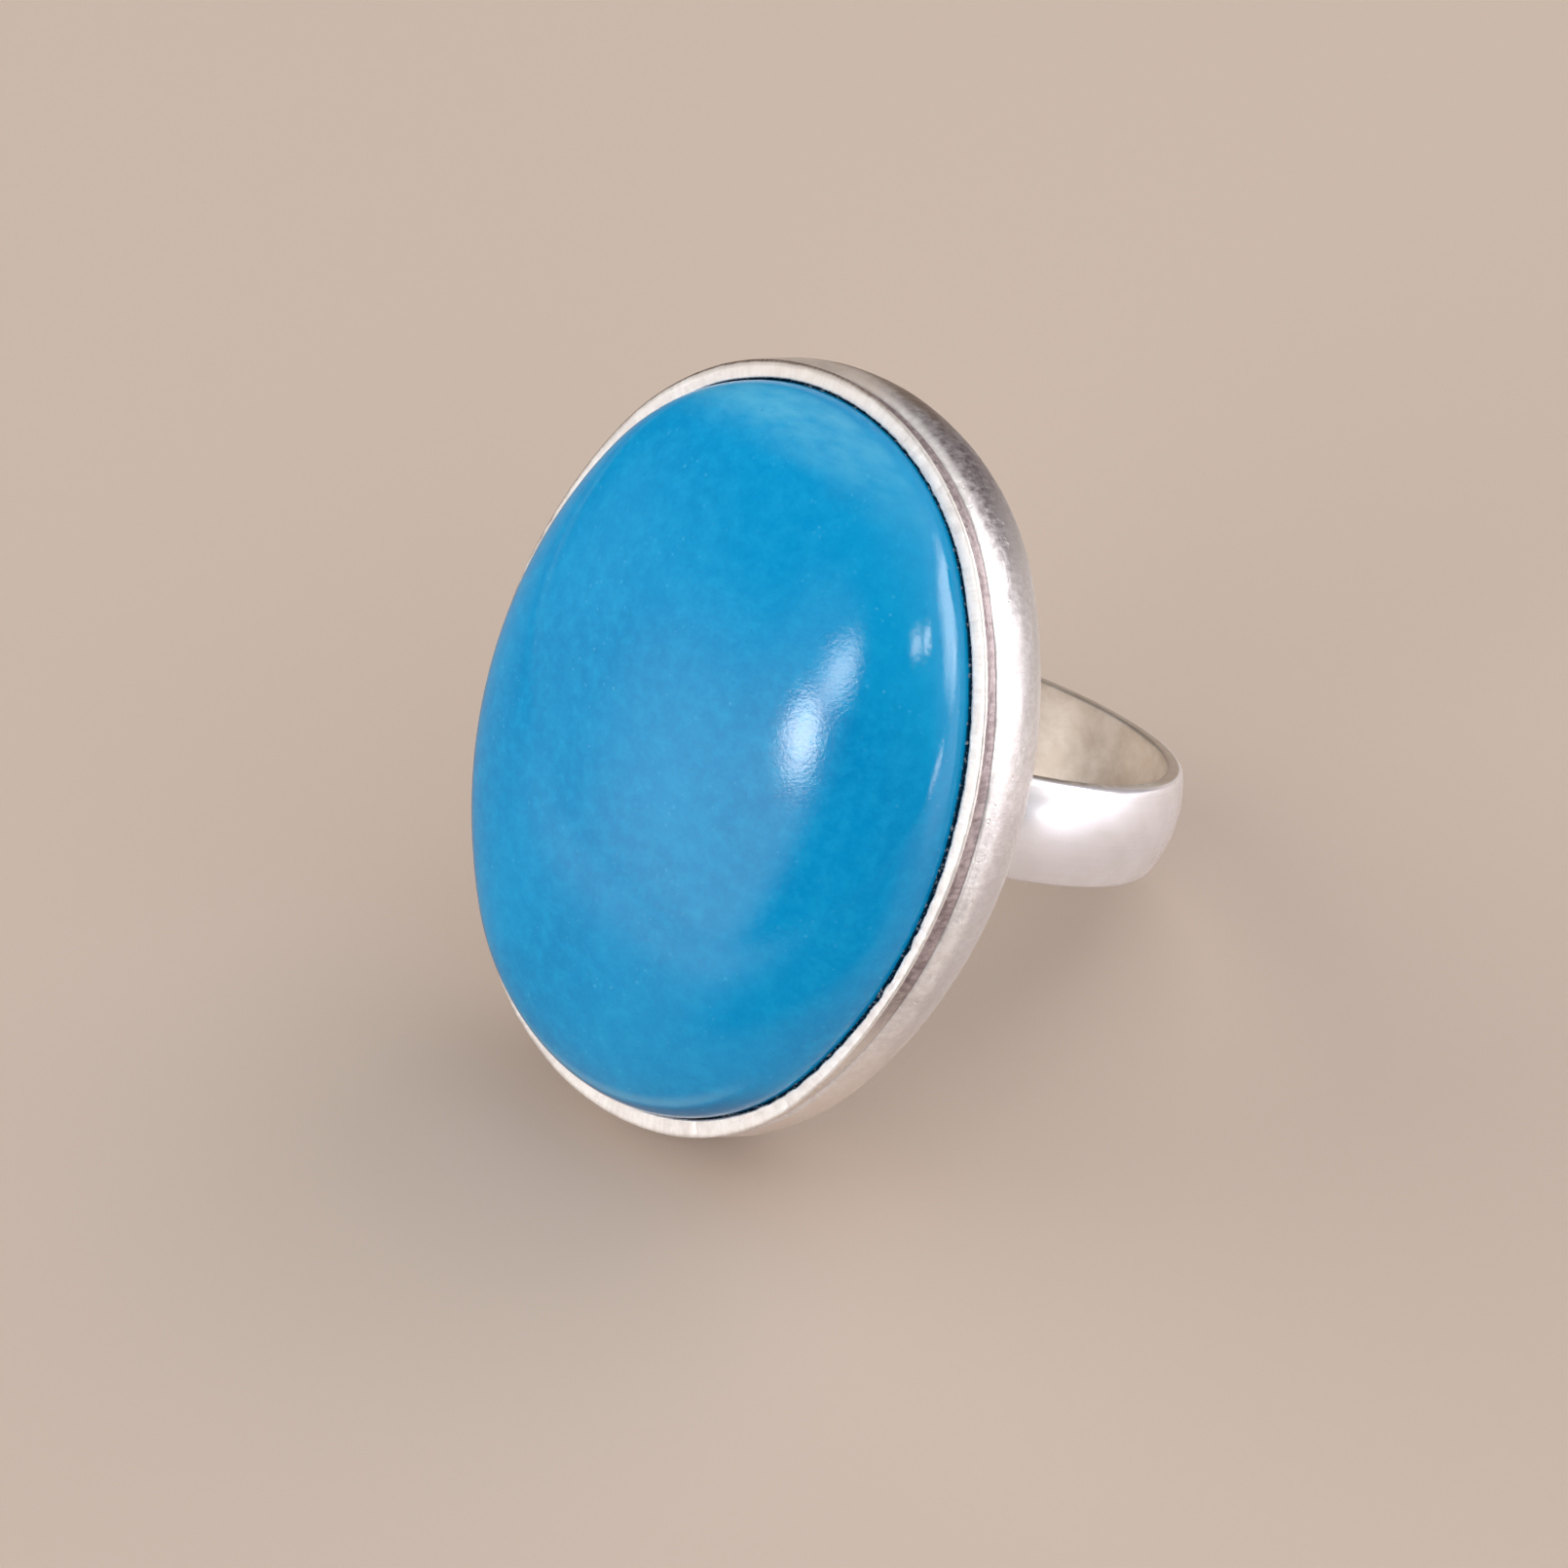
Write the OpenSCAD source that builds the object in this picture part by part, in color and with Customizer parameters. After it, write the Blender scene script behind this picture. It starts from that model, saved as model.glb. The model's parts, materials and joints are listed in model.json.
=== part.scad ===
// Silver ring with an oval turquoise cabochon, lying on a flat surface.
// It rests on the back rim of the head's lower end and on the lower edge of the band's far end,
// both worn a little flat there.
// The pieces are drawn with the stone facing +Z and the finger hole along Y, then laid down.

/* [Stone] */
// Length of the stone inside the lip
stone_length = 26.8; // [25:0.1:28]
// Width of the stone inside the lip
stone_width = 20.3; // [19.4:0.1:21]
// Radius of the outline's two end arcs
end_radius = 8.85; // [8.2:0.05:9.1]
// Height of the dome above the lip
dome_height = 4.6; // [3.5:0.1:5.5]
// Fullness of the dome, where 2 is an ellipsoid
dome_fullness = 2.15; // [1.8:0.05:2.8]
// Clearance between the stone and its setting
stone_gap = 0.1; // [0.05:0.01:0.15]

/* [Bezel] */
// Depth of the head from the lip to its flat back
head_depth = 4.4; // [4:0.1:5]
// Width of the folded lip's flat top
lip_width = 0.6; // [0.45:0.05:0.7]
// Height of the lip's outer face above the groove
lip_height = 0.3; // [0.2:0.05:0.4]
// How far the lip laps over the stone's shoulder
lip_lap = 0.25; // [0.15:0.05:0.35]
// How far the groove under the lip is cut in from the lip's outer face
groove_depth = 0.14; // [0.08:0.02:0.2]
// Height of the groove under the lip
groove_height = 0.42; // [0.3:0.02:0.5]
// Offset of the wall's widest line from the lip's inner edge
wall_reach = 0.8; // [0.7:0.02:0.9]
// Depth of the wall's widest line below the lip
wall_crest = 1.8; // [1.4:0.1:2.4]
// Offset of the wall's back rim from the lip's inner edge
back_reach = 0.1; // [0:0.02:0.2]
// Thickness of the back plate
plate_thickness = 1.0; // [0.8:0.1:1.2]

/* [Band] */
// Diameter of the finger hole
finger_diameter = 18; // [16:0.1:20]
// Width of the band along the finger
band_width = 3.9; // [3:0.1:5]
// Thickness of the band at its two flat edges
edge_thickness = 0.6; // [0.5:0.05:0.8]
// Thickness of the band at its crown
crown_thickness = 1.0; // [0.9:0.05:1.2]
// How far the band's inner face stands below the back plate
band_drop = 0.15; // [0.1:0.05:0.3]
// How far the solder fillets reach to each side of the band's middle
fillet_reach = 5.2; // [4.8:0.1:5.6]

/* [Wear] */
// Depth of the two worn flats on which the ring lies
wear_depth = 0.08; // [0.06:0.01:0.12]

/* [Hidden] */
$fn = 96;

half_length = stone_length / 2;
half_width = stone_width / 2;
finger_radius = finger_diameter / 2;
band_centre_z = -(head_depth + band_drop + finger_radius);
edge_radius = finger_radius + edge_thickness;
crown_radius = finger_radius + crown_thickness;

// The outline has two end arcs on the Y axis and two side arcs on the X axis, tangent where they meet.
end_centre = half_length - end_radius;
side_radius = (pow(half_width, 2) + pow(end_centre, 2) - pow(end_radius, 2))
    / (2 * (half_width - end_radius));
side_centre = side_radius - half_width;
// Direction of the outline's normal at a meeting point of two arcs
meeting_angle = atan2(end_centre, side_centre);

// The ring lies on the line from the head's back rim to the band's lower edge, and the wear lets
// it down a little.
rest_rise = half_length + back_reach - band_width / 2;
rest_run = edge_radius - band_centre_z - head_depth;
rest_lean = atan2(rest_rise, rest_run);
rest_lift = (half_length + back_reach) * cos(rest_lean) + head_depth * sin(rest_lean) - wear_depth;

// Point counts of the outline and of the curved profiles
outline_sides = 72;
wall_steps = 10;
crown_steps = 10;
dome_rings = 14;
// Ring at which the dome closes in its flat facet at the top, as a share of the outline
dome_close = 0.02;
// Bevel on the lip's and groove's edges, and round the stone's base
soft_edge = 0.06;
base_bevel = 0.15;

// How far the solder bites into the back plate
solder_bite = 0.3;

// The two faces of the back plate, and the stone under the lip, from its base to its shoulder
plate_back = -head_depth;
plate_top = plate_back + plate_thickness;
stone_base = plate_top + stone_gap;
girdle_reach = lip_lap - stone_gap;
shoulder_z = -lip_height - groove_height / 2;

// Rows of the dome above the lip, as [reach, share of the outline, height]
dome_rows = [for (i = [1:dome_rings])
    let (share = sin(90 * (1 - (1 - dome_close) * i / dome_rings)))
    [-stone_gap, share, dome_height * pow(1 - share * share, 1 / dome_fullness)]];

// Foremost and rearmost reach of the ring as it lies, and the shift that centres it on Z
rest_front = min([for (row = dome_rows)
    -(half_length - stone_gap) * row[1] * sin(rest_lean) - row[2] * cos(rest_lean)]);
rest_back = (edge_radius - band_centre_z) * cos(rest_lean) + band_width / 2 * sin(rest_lean);
rest_shift = -(rest_front + rest_back) / 2;

function arc_of(a) =
    let (t = abs(a > 180 ? a - 360 : a))
    (t < meeting_angle || t > 180 - meeting_angle) ? "side" : "end";
// Point of the outline with its normal at angle a, moved out by reach
function outline_point(a, reach) =
    arc_of(a) == "end"
    ? [(end_radius + reach) * cos(a), (end_radius + reach) * sin(a) + sign(sin(a)) * end_centre]
    : [(side_radius + reach) * cos(a) - sign(cos(a)) * side_centre, (side_radius + reach) * sin(a)];

// Closed mesh through rings of the outline, one for each row of [reach, share, z], where share
// shrinks the outline towards its centre. Flat faces close the first and the last ring.
module ring_mesh(rows) {
    angles = [for (i = [0:outline_sides - 1]) 360 * i / outline_sides];
    points = [for (row = rows, a = angles)
        let (p = outline_point(a, row[0]) * row[1]) [p.x, p.y, row[2]]];
    last = (len(rows) - 1) * outline_sides;
    walls = [for (k = [0:len(rows) - 2], i = [0:outline_sides - 1])
        let (j = (i + 1) % outline_sides, low = k * outline_sides, high = low + outline_sides)
        each [[low + i, high + i, high + j], [low + i, high + j, low + j]]];
    first_face = [for (i = [0:outline_sides - 1]) i];
    last_face = [for (i = [outline_sides - 1:-1:0]) last + i];
    polyhedron(points = points, faces = concat([first_face], walls, [last_face]), convexity = 4);
}

// The cup, from its back rim up the convex wall, over groove and lip, and down inside to the plate
module cup() {
    wall_top = -lip_height - groove_height;
    groove_reach = lip_width - groove_depth;
    wall_start = groove_reach + soft_edge;
    front_fall = (wall_reach - wall_start) / pow(wall_crest + wall_top, 2);
    back_fall = (wall_reach - back_reach) / pow(head_depth - wall_crest, 2);
    wall = [for (i = [wall_steps:-1:0])
        let (z = wall_top - (head_depth + wall_top) * i / wall_steps,
             fall = z > -wall_crest ? front_fall : back_fall)
        [wall_reach - fall * pow(z + wall_crest, 2), 1, z]];
    groove = [[groove_reach, 1, wall_top + soft_edge], [groove_reach, 1, -lip_height - soft_edge]];
    lip = [[lip_width, 1, -lip_height + soft_edge], [lip_width, 1, -soft_edge],
           [lip_width - soft_edge, 1, 0], [soft_edge, 1, 0], [0, 1, -soft_edge],
           [0, 1, -2 * soft_edge]];
    inside = [[lip_lap, 1, shoulder_z], [lip_lap, 1, plate_top]];
    ring_mesh(concat(wall, groove, lip, inside));
}

// The band: a D section turned round the finger, with a true bore inside
module band() {
    half = band_width / 2;
    rise = crown_thickness - edge_thickness;
    crown_curve = (half * half + rise * rise) / (2 * rise);
    crown = [for (i = [0:crown_steps])
        let (y = half - band_width * i / crown_steps)
        [crown_radius - crown_curve + sqrt(crown_curve * crown_curve - y * y), y]];
    translate([0, 0, band_centre_z]) rotate([90, 0, 0])
        rotate_extrude()
            polygon(concat([[finger_radius - 0.5, -half], [finger_radius - 0.5, half]], crown));
}

// Solder that fills the sharp gap between the band and the back plate on both sides
module solder_fillets() {
    inset = 0.3;
    foot = fillet_reach + 0.4;
    foot_z = band_centre_z + sqrt(pow(edge_radius, 2) - pow(foot, 2));
    translate([0, band_width / 2 - inset, 0]) rotate([90, 0, 0])
        linear_extrude(height = band_width - 2 * inset)
            polygon([[-fillet_reach, plate_back], [-foot, foot_z], [0, foot_z], [foot, foot_z],
                     [fillet_reach, plate_back], [fillet_reach, plate_back + solder_bite],
                     [-fillet_reach, plate_back + solder_bite]]);
}

module finger_bore() {
    translate([0, 0, band_centre_z]) rotate([90, 0, 0])
        cylinder(r = finger_radius, h = band_width + 1, center = true);
}

// Everything below the floor, which the wear has taken off the ring as it lies
module worn_away() {
    reach = 2 * stone_length;
    translate([-reach / 2, -reach / 2, -1]) cube([reach, reach, 1]);
}

module setting() {
    color("silver") difference() {
        laid_down() difference() {
            union() {
                cup();
                band();
                solder_fillets();
            }
            finger_bore();
        }
        worn_away();
    }
}

module stone() {
    color("deepskyblue") laid_down() cabochon();
}

// The cabochon: base, girdle and shoulder under the lip, then the dome
module cabochon() {
    under_lip = [[girdle_reach - base_bevel, 1, stone_base], [girdle_reach, 1, stone_base + base_bevel],
                 [girdle_reach, 1, shoulder_z], [-stone_gap, 1, -soft_edge]];
    ring_mesh(concat(under_lip, dome_rows));
}

// Lays the ring down on the floor, stone towards -Y and up.
module laid_down() {
    translate([0, rest_shift, rest_lift]) rotate([90 - rest_lean, 0, 0]) children();
}

setting();
stone();
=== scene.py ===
import json
import math

import bpy
import numpy as np
from mathutils import Matrix, Vector


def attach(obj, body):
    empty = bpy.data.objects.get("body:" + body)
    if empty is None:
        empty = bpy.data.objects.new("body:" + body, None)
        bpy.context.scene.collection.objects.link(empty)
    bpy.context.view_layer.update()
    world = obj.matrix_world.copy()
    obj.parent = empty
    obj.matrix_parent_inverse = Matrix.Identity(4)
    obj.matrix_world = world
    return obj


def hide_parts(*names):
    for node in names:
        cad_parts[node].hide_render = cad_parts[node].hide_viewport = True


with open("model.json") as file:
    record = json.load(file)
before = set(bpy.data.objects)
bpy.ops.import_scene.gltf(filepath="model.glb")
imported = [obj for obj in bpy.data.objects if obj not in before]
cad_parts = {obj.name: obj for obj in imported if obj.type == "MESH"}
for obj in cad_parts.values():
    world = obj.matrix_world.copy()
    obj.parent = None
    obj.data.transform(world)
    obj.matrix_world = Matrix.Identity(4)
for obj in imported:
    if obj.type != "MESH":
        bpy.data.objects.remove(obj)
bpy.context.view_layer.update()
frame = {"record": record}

MM = 0.001

# The ring's own frame, in mm: the lip's top is z = 0, the stone faces +z, and the finger goes along y.
HOLE = frame["record"]["mounts"][0]
SIN_LEAN, COS_LEAN = HOLE["axis"][1], HOLE["axis"][2]
HOLE_RADIUS = HOLE["dims"]["r_mm"]
BAND_CENTRE_Z = -13.55
ORIGIN = Vector((
    HOLE["pos_m"][0],
    HOLE["pos_m"][1] + BAND_CENTRE_Z * MM * COS_LEAN,
    HOLE["pos_m"][2] - BAND_CENTRE_Z * MM * SIN_LEAN,
))
TURN = Matrix(((1, 0, 0), (0, SIN_LEAN, -COS_LEAN), (0, COS_LEAN, SIN_LEAN)))

# Outline of the stone and the head: two end arcs on the y axis and two side arcs on the x axis
HALF_LENGTH, HALF_WIDTH, END_RADIUS = 13.4, 10.15, 8.85
END_CENTRE = HALF_LENGTH - END_RADIUS
SIDE_RADIUS = (HALF_WIDTH**2 + END_CENTRE**2 - END_RADIUS**2) / (2 * (HALF_WIDTH - END_RADIUS))
SIDE_CENTRE = SIDE_RADIUS - HALF_WIDTH
MEETING_ANGLE = math.atan2(END_CENTRE, SIDE_CENTRE)


def to_world(points):
    """Points of the ring's own frame, in mm, as metres in the row frame."""
    turn = np.array(TURN)
    return np.asarray(points, float) @ turn.T * MM + np.array(ORIGIN)


def outline(angle, reach):
    """Points of the outline whose normal has this angle, moved out by reach."""
    c, s = np.cos(angle), np.sin(angle)
    side = np.abs(c) > math.cos(MEETING_ANGLE)
    x = np.where(side, (SIDE_RADIUS + reach) * c - np.sign(c) * SIDE_CENTRE, (END_RADIUS + reach) * c)
    y = np.where(side, (SIDE_RADIUS + reach) * s, (END_RADIUS + reach) * s + np.sign(s) * END_CENTRE)
    return x, y


def even_angles(count):
    """Angles of points evenly spaced along the outline from its lower end, and the outline's length."""
    fine = np.linspace(-math.pi / 2, 1.5 * math.pi, 7201)
    x, y = outline(fine, 0.0)
    run = np.concatenate([[0], np.cumsum(np.hypot(np.diff(x), np.diff(y)))])
    at = np.arange(count) / count * run[-1]
    return np.interp(at, run, fine), at, run[-1]


def waves(at, length, periods, seed, fade=0.7):
    """Smooth noise round a closed line, from about -1 to 1, with these numbers of waves in one round."""
    rng = np.random.default_rng(seed)
    total = np.zeros_like(at, dtype=float)
    for k in periods:
        total += rng.normal(0, fade) * np.cos(2 * math.pi * (k * at / length + rng.random()))
    return total / math.sqrt(len(periods))


def hump(degrees, centre, width):
    """Smooth hump of height 1 round a closed line, at this angle and of this half width in degrees."""
    turned = (degrees - centre + 180) % 360 - 180
    return np.exp(-((turned / width) ** 2))


def ease(x, low, high):
    """Smooth step from 0 at low to 1 at high."""
    t = np.clip((x - low) / (high - low), 0, 1)
    return t * t * (3 - 2 * t)


def new_object(name, points, faces, loop_uv=None, face_material=None, materials=()):
    """Smooth mesh object, with grain coordinates and a material index for each face if given."""
    mesh = bpy.data.meshes.new(name)
    mesh.from_pydata(points.tolist(), [], faces)
    if loop_uv is not None:
        layer = mesh.uv_layers.new(name="grain")
        layer.data.foreach_set("uv", np.asarray(loop_uv, np.float32).ravel())
    for material in materials:
        mesh.materials.append(material)
    if face_material is not None:
        mesh.polygons.foreach_set("material_index", np.asarray(face_material, np.int32))
    mesh.polygons.foreach_set("use_smooth", [True] * len(mesh.polygons))
    mesh.update()
    obj = bpy.data.objects.new(name, mesh)
    bpy.context.scene.collection.objects.link(obj)
    return obj


def tube_faces(rows, sides, wrap_rows=False):
    """Quads between rings of points, with each face's row."""
    faces, row_of = [], []
    for k in range(rows if wrap_rows else rows - 1):
        low, high = k * sides, (k + 1) % rows * sides
        for i in range(sides):
            j = (i + 1) % sides
            faces.append((low + i, low + j, high + j, high + i))
            row_of.append(k)
    return faces, row_of


def tube_uv(at, length, across, rows, sides, wrap_rows=False):
    """Grain coordinates of the quads of tube_faces, in mm along and across, with no jump at the seam."""
    uv = []
    for k in range(rows if wrap_rows else rows - 1):
        v0, v1 = across[k], across[k + 1]
        for i in range(sides):
            u0 = at[i]
            u1 = at[i + 1] if i + 1 < sides else length
            uv += [(u0, v0), (u1, v0), (u1, v1), (u0, v1)]
    return uv


# Shader helpers
def link(tree, source, target):
    tree.links.new(source, target)


def math_node(tree, operation, a, b=None):
    made = tree.nodes.new("ShaderNodeMath")
    made.operation = operation
    for socket, value in zip(made.inputs, (a, b)):
        if value is None:
            continue
        if isinstance(value, (int, float)):
            socket.default_value = value
        else:
            tree.links.new(value, socket)
    return made.outputs[0]


def times(tree, a, b):
    return math_node(tree, "MULTIPLY", a, b)


def plus(tree, a, b):
    return math_node(tree, "ADD", a, b)


def mapped(tree, vector, scale=(1, 1, 1), location=(0, 0, 0), rotation=(0, 0, 0)):
    made = tree.nodes.new("ShaderNodeMapping")
    made.inputs["Scale"].default_value = scale
    made.inputs["Location"].default_value = location
    made.inputs["Rotation"].default_value = rotation
    tree.links.new(vector, made.inputs["Vector"])
    return made.outputs[0]


def noise(tree, vector, scale, detail=3.0, roughness=0.5, distortion=0.0):
    made = tree.nodes.new("ShaderNodeTexNoise")
    made.inputs["Scale"].default_value = scale
    made.inputs["Detail"].default_value = detail
    made.inputs["Roughness"].default_value = roughness
    made.inputs["Distortion"].default_value = distortion
    tree.links.new(vector, made.inputs["Vector"])
    return made.outputs["Fac"]


def spread(tree, value, low, high, to_low=0.0, to_high=1.0, smooth=False):
    """The value taken from the range low to high into the range to_low to to_high, and held there."""
    made = tree.nodes.new("ShaderNodeMapRange")
    if smooth:
        made.interpolation_type = "SMOOTHSTEP"
    for name, number in (("From Min", low), ("From Max", high), ("To Min", to_low), ("To Max", to_high)):
        made.inputs[name].default_value = number
    tree.links.new(value, made.inputs["Value"])
    return made.outputs["Result"]


def between(tree, value, start, full, fade, end):
    """Share that rises from start to full and falls again from fade to end."""
    return times(tree, spread(tree, value, start, full, smooth=True),
                 spread(tree, value, fade, end, 1.0, 0.0, smooth=True))


def mix_colour(tree, share, a, b):
    """Colour a with this share of colour b."""
    made = tree.nodes.new("ShaderNodeMix")
    made.data_type = "RGBA"
    for socket, value in ((made.inputs["Factor"], share), (made.inputs[6], a), (made.inputs[7], b)):
        if isinstance(value, (int, float)):
            socket.default_value = value
        elif isinstance(value, tuple):
            socket.default_value = (*value, 1.0)
        else:
            tree.links.new(value, socket)
    return made.outputs[2]


def bumped(tree, height, strength, distance, normal=None):
    """Normal bent by a height, on top of an earlier normal."""
    made = tree.nodes.new("ShaderNodeBump")
    made.inputs["Strength"].default_value = strength
    made.inputs["Distance"].default_value = distance
    tree.links.new(height, made.inputs["Height"])
    if normal is not None:
        tree.links.new(normal, made.inputs["Normal"])
    return made.outputs["Normal"]


def ring_coordinates(tree):
    """The ring's own frame in mm, for a piece whose object sits at the row frame's origin."""
    place = tree.nodes.new("ShaderNodeTexCoord").outputs["Object"]
    back = TURN.transposed()
    shift = back @ ORIGIN / MM
    return mapped(tree, place, scale=(1 / MM,) * 3, location=tuple(-shift),
                  rotation=tuple(back.to_euler("XYZ")))


def separated(tree, vector):
    """Outputs X, Y and Z of a vector."""
    made = tree.nodes.new("ShaderNodeSeparateXYZ")
    link(tree, vector, made.inputs[0])
    return made.outputs


def along(tree, place, x_share, y_share):
    """How far a place lies along a direction across the head."""
    return plus(tree, times(tree, place["X"], x_share), times(tree, place["Y"], y_share))


def vector_length(tree, vector):
    made = tree.nodes.new("ShaderNodeVectorMath")
    made.operation = "LENGTH"
    link(tree, vector, made.inputs[0])
    return made.outputs["Value"]


def start_material(name):
    material = bpy.data.materials.new(name)
    material.use_nodes = True
    return material, material.node_tree, material.node_tree.nodes["Principled BSDF"]


def silver(name, tint, dark_tint, rough, rough_spread, grain_scale, line_strength, line_share=0.3,
           pit_strength=0.3, dent_scale=2.2, dent_strength=0.2, scratch_strength=0.25, metallic=1.0,
           bright_sides=False, patinas_and_painted_shade=()):
    """Silver with brushed lines that follow the grain coordinates, soft tarnish, scratches and pits; on the
    band's edge faces the dark tint is a painted dark reflection.

    Each patch of patina or painted shade has the side of the head it lies towards, in degrees from +x, the
    distances along that side between which it grows, the four heights between which it grows and fades, and
    its tint.
    """
    material, tree, shader = start_material(name)
    shader.inputs["Metallic"].default_value = metallic
    grain = tree.nodes.new("ShaderNodeUVMap")
    grain.uv_map = "grain"
    grain = grain.outputs[0]
    lines = noise(tree, mapped(tree, grain, scale=(*grain_scale, 1)), 1.0, 4.0, 0.65)
    own = ring_coordinates(tree)
    place = separated(tree, own)
    clouds = noise(tree, own, 0.45, 3.0, 0.55)
    patches = noise(tree, own, dent_scale, 4.0, 0.6)
    rest = (1 - line_share) / 2
    wear_and_painted_dark = plus(tree, times(tree, clouds, rest),
                plus(tree, times(tree, patches, rest), times(tree, lines, line_share)))
    wear_and_painted_dark_share = spread(tree, wear_and_painted_dark, 0.40, 0.60, smooth=True)
    if bright_sides:
        # At the band's two sides the edge keeps its light tint, with no painted dark reflection
        sides = spread(tree, math_node(tree, "ABSOLUTE", place["X"]), 8.5, 9.6, smooth=True)
        wear_and_painted_dark_share = math_node(tree, "MAXIMUM", wear_and_painted_dark_share, sides)
    colour = mix_colour(tree, wear_and_painted_dark_share, dark_tint, tint)
    for side, (near, far), heights, patch_tint in patinas_and_painted_shade:
        toward = along(tree, place, math.cos(math.radians(side)), math.sin(math.radians(side)))
        share = times(tree, spread(tree, toward, near, far, smooth=True),
                      between(tree, place["Z"], *heights))
        # The brushed lines break each patch up
        share = times(tree, share, spread(tree, lines, 0.3, 0.6, 1.0, 0.66))
        colour = mix_colour(tree, share, colour, patch_tint)
    link(tree, colour, shader.inputs["Base Color"])
    link(tree, spread(tree, wear_and_painted_dark, 0.38, 0.62, rough - rough_spread, rough + rough_spread),
         shader.inputs["Roughness"])
    normal = bumped(tree, lines, line_strength, 0.03 * MM) if line_strength else None
    for turn, at in ((0.3, 3.0), (-0.7, 11.0)) if scratch_strength else ():
        streaks = noise(tree, mapped(tree, grain, scale=(0.25, 9.0, 1), location=(at, at, 0),
                                     rotation=(0, 0, turn)), 1.0, 1.0, 0.5)
        scratch = spread(tree, streaks, 0.62, 0.68, 1.0, 0.0)
        normal = bumped(tree, scratch, scratch_strength, 0.01 * MM, normal)
    normal = bumped(tree, noise(tree, own, dent_scale, 1.5, 0.5), dent_strength, 0.06 * MM, normal)
    if pit_strength:
        pit = spread(tree, noise(tree, own, 4.0, 1.0, 0.5), 0.24, 0.30)
        normal = bumped(tree, pit, pit_strength, 0.02 * MM, normal)
    link(tree, normal, shader.inputs["Normal"])
    return material


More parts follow.
